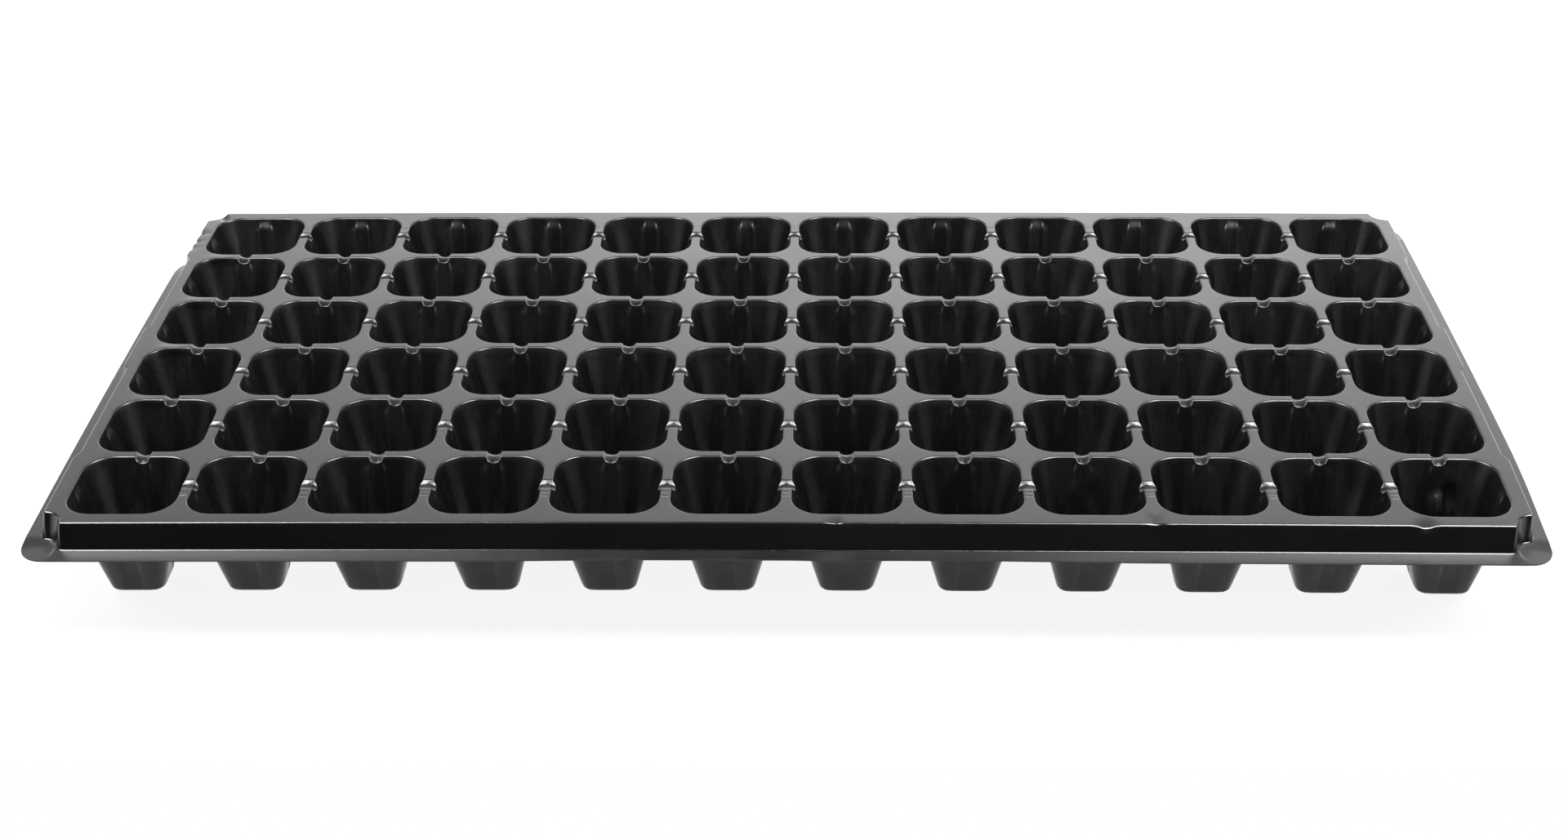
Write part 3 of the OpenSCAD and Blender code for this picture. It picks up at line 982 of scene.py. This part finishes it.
# Changes of the studio's brightness along an axis: from, to, and the brightness at both
STUDIO_CHANGES = (
    # Dim on the camera's side, bright behind the tray
    ("Y", -0.15, 0.85, 0.035, 1.0),
    # Brightest low down, where the deck mirrors it
    ("Z", 0.40, 0.56, 3.7, 1.15),
    # Dimmer overhead, to the left and to the right
    ("Z", 0.60, 0.95, 1.0, 0.5),
    ("X", -0.35, 0.05, 0.56, 1.0),
    ("X", 0.05, 0.35, 1.0, 0.82),
)
# Lamps: name, size and place in metres, power in watts, and whether it shows in highlights only
LAMPS = (
    ("left_softbox", (0.85, 0.9), (-0.74, -0.45, 1.0), 78.0, True),
    ("right_softbox", (0.85, 0.9), (0.62, -0.45, 1.0), 78.0, True),
    ("top_light", (1.2, 0.8), (0.0, 0.2, 1.3), 6.0, False),
)


class TRAY_OT_stage(bpy.types.Operator):
    """Set the floor, the light and the camera"""
    bl_idname = "tray.stage"
    bl_label = "Studio"

    def execute(self, context):
        context.scene.view_settings.view_transform = "Standard"
        self.add_camera(context)
        self.add_floor(context)
        self.add_world(context)
        self.add_lamps(context)
        return {"FINISHED"}

    def add_camera(self, context):
        """The camera, turned and tipped, then rolled about its own axis"""
        stage = context.scene.tray_stage
        camera = bpy.data.objects.new("camera", bpy.data.cameras.new("camera"))
        context.scene.collection.objects.link(camera)
        pitch, yaw, roll = stage.camera_pitch, stage.camera_yaw, stage.camera_roll
        level = math.cos(pitch)
        ahead = Vector((math.sin(yaw) * level, math.cos(yaw) * level, -math.sin(pitch)))
        level_right = Vector((math.cos(yaw), -math.sin(yaw), 0.0))
        level_up = level_right.cross(ahead)
        right = level_right * math.cos(roll) + level_up * math.sin(roll)
        up = level_up * math.cos(roll) - level_right * math.sin(roll)
        turn = Matrix((right, up, -ahead)).transposed().to_4x4()
        camera.matrix_world = Matrix.Translation(Vector(stage.camera_place)) @ turn
        camera.data.lens = stage.camera_lens
        camera.data.sensor_width = SENSOR_WIDTH
        camera.data.clip_start = 0.01
        context.scene.camera = camera

    def add_floor(self, context):
        """A pale floor that shows as bright as the background"""
        mesh = bpy.data.meshes.new("studio_floor")
        corners = [(-FLOOR_SIDE, FLOOR_FRONT, 0.0), (FLOOR_SIDE, FLOOR_FRONT, 0.0),
                   (FLOOR_SIDE, FLOOR_BACK, 0.0), (-FLOOR_SIDE, FLOOR_BACK, 0.0)]
        mesh.from_pydata(corners, [], [(0, 1, 2, 3)])
        floor = bpy.data.objects.new("studio_floor", mesh)
        context.scene.collection.objects.link(floor)
        material, tree, shader = new_finish("studio_floor")
        shader.inputs["Base Color"].default_value = (*context.scene.tray_colours.studio_colour, 1.0)
        shader.inputs["Roughness"].default_value = 0.9
        shader.inputs["Specular IOR Level"].default_value = 0.0
        path = tree.nodes.new("ShaderNodeLightPath")
        seen = path.outputs["Is Camera Ray"]
        for kind in ("Is Glossy Ray", "Is Transmission Ray"):
            seen = calc(tree, "MAXIMUM", seen, path.outputs[kind])
        tree.links.new(times(tree, seen, FLOOR_GLOW), shader.inputs["Emission Strength"])
        shader.inputs["Emission Color"].default_value = WHITE
        mesh.materials.append(material)

    def add_world(self, context):
        """White to the camera; bright low behind the tray and dim on the camera's side for the rest"""
        world = bpy.data.worlds.new("studio")
        context.scene.world = world
        world.use_nodes = True
        tree = world.node_tree
        back = tree.nodes["Background"]
        seen = tree.nodes.new("ShaderNodeBackground")
        seen.inputs["Color"].default_value = WHITE
        path = tree.nodes.new("ShaderNodeLightPath")
        mix = tree.nodes.new("ShaderNodeMixShader")
        place = tree.nodes.new("ShaderNodeTexCoord")
        split = split_place(tree, place.outputs["Generated"])
        changes = [ramp(tree, split.outputs[axis], *values) for axis, *values in STUDIO_CHANGES]
        link = tree.links.new
        link(times(tree, *changes), back.inputs["Strength"])
        back.inputs["Color"].default_value = STUDIO_LIGHT
        link(path.outputs["Is Camera Ray"], mix.inputs[0])
        link(back.outputs[0], mix.inputs[1])
        link(seen.outputs[0], mix.inputs[2])
        link(mix.outputs[0], tree.nodes["World Output"].inputs["Surface"])

    def add_lamps(self, context):
        """Two soft boxes before the tray, to its left and right, and plain light from above"""
        for name, size, place, power, highlights in LAMPS:
            lamp = bpy.data.lights.new(name, "AREA")
            lamp.shape = "RECTANGLE"
            lamp.size, lamp.size_y = size
            lamp.energy = power
            item = bpy.data.objects.new(name, lamp)
            context.scene.collection.objects.link(item)
            item.location = place
            item.visible_diffuse = not highlights
            item.visible_glossy = highlights
            aim = Vector((0.0, 0.0, DECK_TOP)) - item.location
            item.rotation_euler = aim.to_track_quat("-Z", "Y").to_euler()


class TRAY_PT_sidebar(bpy.types.Panel):
    """Sizes, colours and steps of the seed tray"""
    bl_idname = "TRAY_PT_sidebar"
    bl_label = "Seed tray"
    bl_space_type = "VIEW_3D"
    bl_region_type = "UI"
    bl_category = "Seed tray"

    def draw(self, context):
        for pointer, group in GROUPS.items():
            box = self.layout.box()
            for name in group.__annotations__:
                box.prop(getattr(context.scene, pointer), name)
        for operator in OPERATORS:
            self.layout.operator(operator.bl_idname)


GROUPS = {"tray_sizes": TRAY_PG_sizes, "tray_colours": TRAY_PG_colours, "tray_stage": TRAY_PG_stage}
OPERATORS = (TRAY_OT_cells, TRAY_OT_deck, TRAY_OT_skirt, TRAY_OT_flange, TRAY_OT_stage)
CLASSES = (*GROUPS.values(), *OPERATORS, TRAY_PT_sidebar)


def register():
    for item in CLASSES:
        bpy.utils.register_class(item)
    for pointer, group in GROUPS.items():
        setattr(bpy.types.Scene, pointer, bpy.props.PointerProperty(type=group))


def unregister():
    for pointer in GROUPS:
        delattr(bpy.types.Scene, pointer)
    for item in reversed(CLASSES):
        bpy.utils.unregister_class(item)


def main():
    register()
    bpy.ops.tray.cells()
    bpy.ops.tray.deck()
    bpy.ops.tray.skirt()
    bpy.ops.tray.flange()
    bpy.ops.tray.stage()


if __name__ == "__main__":
    main()
